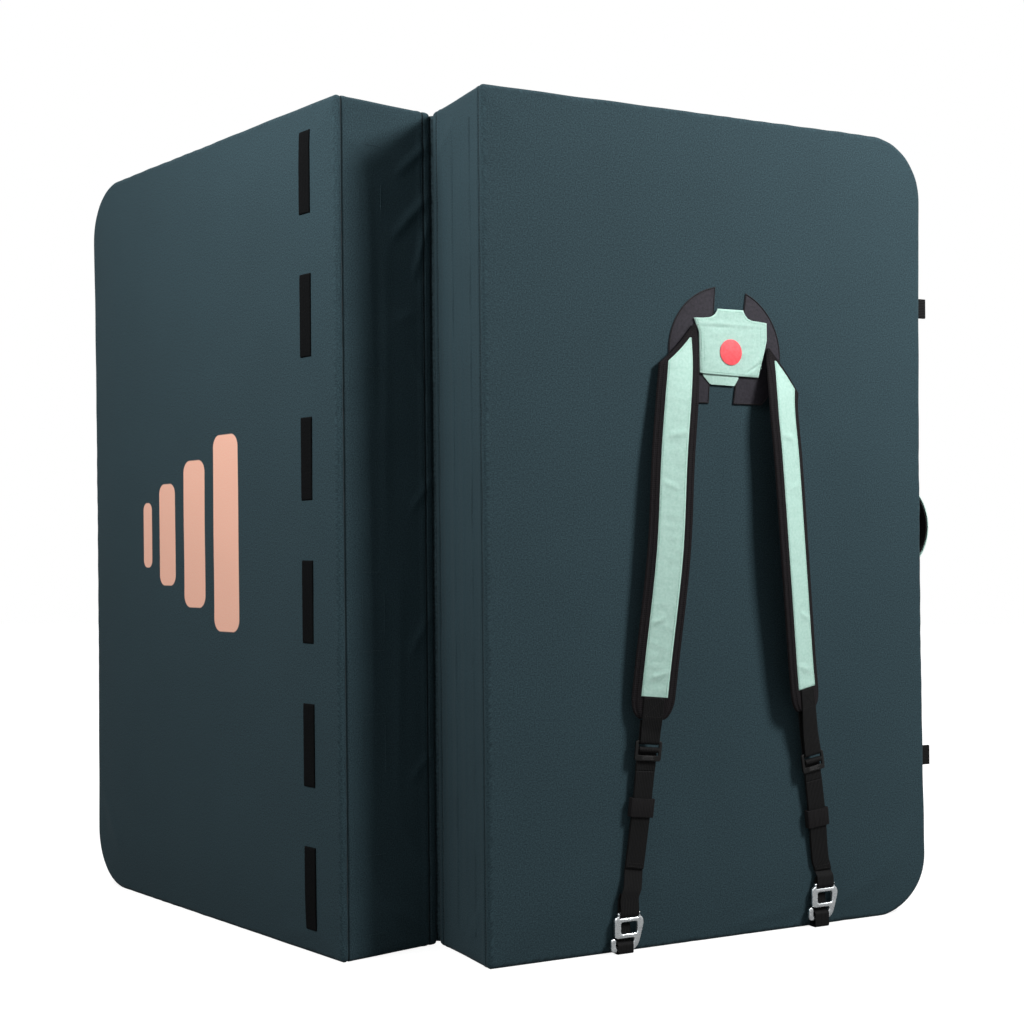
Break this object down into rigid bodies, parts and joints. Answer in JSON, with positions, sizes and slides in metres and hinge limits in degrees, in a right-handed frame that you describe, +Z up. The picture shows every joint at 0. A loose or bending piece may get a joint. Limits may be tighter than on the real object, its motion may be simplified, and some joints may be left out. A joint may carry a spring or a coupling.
{
  "type": "bouldering crash pad",
  "caption": "Folding foam bouldering crash pad that stands on edge part folded, with padded shoulder straps, cast hooks, hook-and-loop strips and a carry handle.",
  "frame": {"origin": "centre of the bounding box, at the floor", "axes": "+Z up along the pad's length, +X from the left panel to the right one, across the fold; the fold points to -Y, where the outer ground faces show"},
  "size_m": [1.1724, 0.495, 1.0032],
  "materials": {
    "base_foam": "closed-cell foam",
    "buckle_plastic": "moulded, satin",
    "coral_disc": "soft moulded rubber",
    "core_foam": "open-cell foam",
    "cover_fabric": "heathered woven polyester, dark teal grey",
    "flap_fabric": "woven hinge fabric",
    "hook_and_loop": "looped pile",
    "hook_metal": "cast, satin",
    "landing_foam": "closed-cell foam",
    "mint_fabric": "plain weave",
    "strap_mesh": "spacer mesh",
    "webbing_black": "ribbed webbing",
    "yoke_black": "plain weave",
    "zip_metal": "satin",
    "zip_tape": "woven zip tape"
  },
  "bodies": {
    "right_panel": {"right_cover": "cover_fabric", "right_landing_foam": "landing_foam", "right_core_foam": "core_foam", "right_base_foam": "base_foam", "right_zip": "zip_tape", "right_hinge_flap": "flap_fabric", "yoke_left_patch": "yoke_black", "yoke_right_patch": "yoke_black", "yoke_lower_tab": "mint_fabric", "yoke_panel": "mint_fabric", "yoke_disc": "coral_disc", "left_anchor_loop": "webbing_black", "right_anchor_loop": "webbing_black", "upper_closure_tab": "webbing_black", "lower_closure_tab": "webbing_black", "carry_handle_webbing": "webbing_black"},
    "left_panel": {"left_cover": "cover_fabric", "left_landing_foam": "landing_foam", "left_core_foam": "core_foam", "left_base_foam": "base_foam", "left_zip": "zip_tape", "left_hinge_flap": "flap_fabric", "hook_and_loop_strip_1": "hook_and_loop", "hook_and_loop_strip_2": "hook_and_loop", "hook_and_loop_strip_3": "hook_and_loop", "hook_and_loop_strip_4": "hook_and_loop", "hook_and_loop_strip_5": "hook_and_loop", "hook_and_loop_strip_6": "hook_and_loop"},
    "left_strap": {"left_strap_pad": "strap_mesh", "left_strap_facing": "mint_fabric", "left_strap_webbing": "webbing_black"},
    "left_lock": {"left_ladder_lock": "buckle_plastic"},
    "left_adjuster": {"left_adjuster_webbing": "webbing_black"},
    "left_keeper": {"left_webbing_keeper": "webbing_black"},
    "left_hook": {"left_strap_hook": "hook_metal"},
    "right_strap": {"right_strap_pad": "strap_mesh", "right_strap_facing": "mint_fabric", "right_strap_webbing": "webbing_black"},
    "right_lock": {"right_ladder_lock": "buckle_plastic"},
    "right_adjuster": {"right_adjuster_webbing": "webbing_black"},
    "right_keeper": {"right_webbing_keeper": "webbing_black"},
    "right_hook": {"right_strap_hook": "hook_metal"},
    "carry_handle": {"carry_handle_outer": "mint_fabric", "carry_handle_inner": "strap_mesh"},
    "upper_closure": {"upper_closure_strap": "webbing_black"},
    "upper_closure_hook_body": {"upper_closure_hook": "hook_metal"},
    "lower_closure": {"lower_closure_strap": "webbing_black"},
    "lower_closure_hook_body": {"lower_closure_hook": "hook_metal"},
    "right_slider": {"right_zip_slider": "zip_metal"},
    "left_slider": {"left_zip_slider": "zip_metal"}
  },
  "joints": [
    {"name": "panel_fold", "type": "hinge", "parent": "right_panel", "child": "left_panel", "pos_m": [-0.00588, -0.14208, 0], "axis": [0, 0, 1], "range_deg": [-103, 76.5]},
    {"name": "left_strap_lift", "type": "hinge", "parent": "right_panel", "child": "left_strap", "pos_m": [0.28184, -0.09977, 0.71787], "axis": [-0.5726, -0.454, -0.6827], "range_deg": [0, 80], "deforming": ["left_anchor_loop"]},
    {"name": "left_lock_tilt", "type": "hinge", "parent": "left_strap", "child": "left_lock", "pos_m": [0.24939, -0.13576, 0.24665], "axis": [-0.835, -0.5422, 0.0933], "range_deg": [0, 35], "deforming": ["left_adjuster_webbing"]},
    {"name": "left_strap_adjust", "type": "slide", "parent": "left_strap", "child": "left_adjuster", "axis": [0.1164, 0.0673, 0.9909], "range_m": [-0.06, 0.05], "deforming": ["left_adjuster_webbing", "left_anchor_loop"]},
    {"name": "left_keeper_slide", "type": "slide", "parent": "left_strap", "child": "left_keeper", "axis": [0.11, 0.0425, 0.993], "range_m": [-0.02, 0.035], "deforming": ["left_adjuster_webbing"]},
    {"name": "left_hook_turn", "type": "hinge", "parent": "left_adjuster", "child": "left_hook", "pos_m": [0.22472, -0.14589, 0.04635], "axis": [-0.7836, -0.6213, 0], "range_deg": [0, 70], "deforming": ["left_anchor_loop"]},
    {"name": "right_strap_lift", "type": "hinge", "parent": "right_panel", "child": "right_strap", "pos_m": [0.40251, -0.00409, 0.69118], "axis": [-0.4819, -0.3821, 0.7886], "range_deg": [0, 80], "deforming": ["right_anchor_loop"]},
    {"name": "right_lock_tilt", "type": "hinge", "parent": "right_strap", "child": "right_lock", "pos_m": [0.43366, 0.01178, 0.21806], "axis": [-0.7525, -0.639, -0.1593], "range_deg": [0, 35], "deforming": ["right_adjuster_webbing"]},
    {"name": "right_strap_adjust", "type": "slide", "parent": "right_strap", "child": "right_adjuster", "axis": [-0.089, -0.0952, 0.9915], "range_m": [-0.06, 0.05], "deforming": ["right_adjuster_webbing", "right_anchor_loop"]},
    {"name": "right_keeper_slide", "type": "slide", "parent": "right_strap", "child": "right_keeper", "axis": [-0.0653, -0.0977, 0.9931], "range_m": [-0.02, 0.035], "deforming": ["right_adjuster_webbing"]},
    {"name": "right_hook_turn", "type": "hinge", "parent": "right_adjuster", "child": "right_hook", "pos_m": [0.44711, 0.03044, 0.05235], "axis": [-0.7836, -0.6213, 0], "range_deg": [0, 70], "deforming": ["right_anchor_loop"]},
    {"name": "carry_handle_tilt", "type": "hinge", "parent": "right_panel", "child": "carry_handle", "pos_m": [0.53242, 0.19367, 0.5], "axis": [0, 0, 1], "range_deg": [-45, 45], "deforming": ["carry_handle_webbing"]},
    {"name": "upper_closure_lift", "type": "hinge", "parent": "left_panel", "child": "upper_closure", "pos_m": [-0.56831, 0.16718, 0.85], "axis": [0.6213, 0.7836, 0], "range_deg": [0, 110]},
    {"name": "upper_closure_hook_turn", "type": "hinge", "parent": "upper_closure", "child": "upper_closure_hook_body", "pos_m": [-0.57148, 0.16969, 0.615], "axis": [0.6213, 0.7836, 0], "range_deg": [0, 90]},
    {"name": "lower_closure_lift", "type": "hinge", "parent": "left_panel", "child": "lower_closure", "pos_m": [-0.56665, 0.16587, 0.37], "axis": [0.6213, 0.7836, 0], "range_deg": [0, 110]},
    {"name": "lower_closure_hook_turn", "type": "hinge", "parent": "lower_closure", "child": "lower_closure_hook_body", "pos_m": [-0.57165, 0.16983, 0.135], "axis": [0.6213, 0.7836, 0], "range_deg": [0, 90]},
    {"name": "right_zip_slide", "type": "slide", "parent": "right_panel", "child": "right_slider", "axis": [0.7836, 0.6213, 0], "range_m": [0, 0.4]},
    {"name": "left_zip_slide", "type": "slide", "parent": "left_panel", "child": "left_slider", "axis": [-0.7836, 0.6213, 0], "range_m": [0, 0.4]}
  ]
}
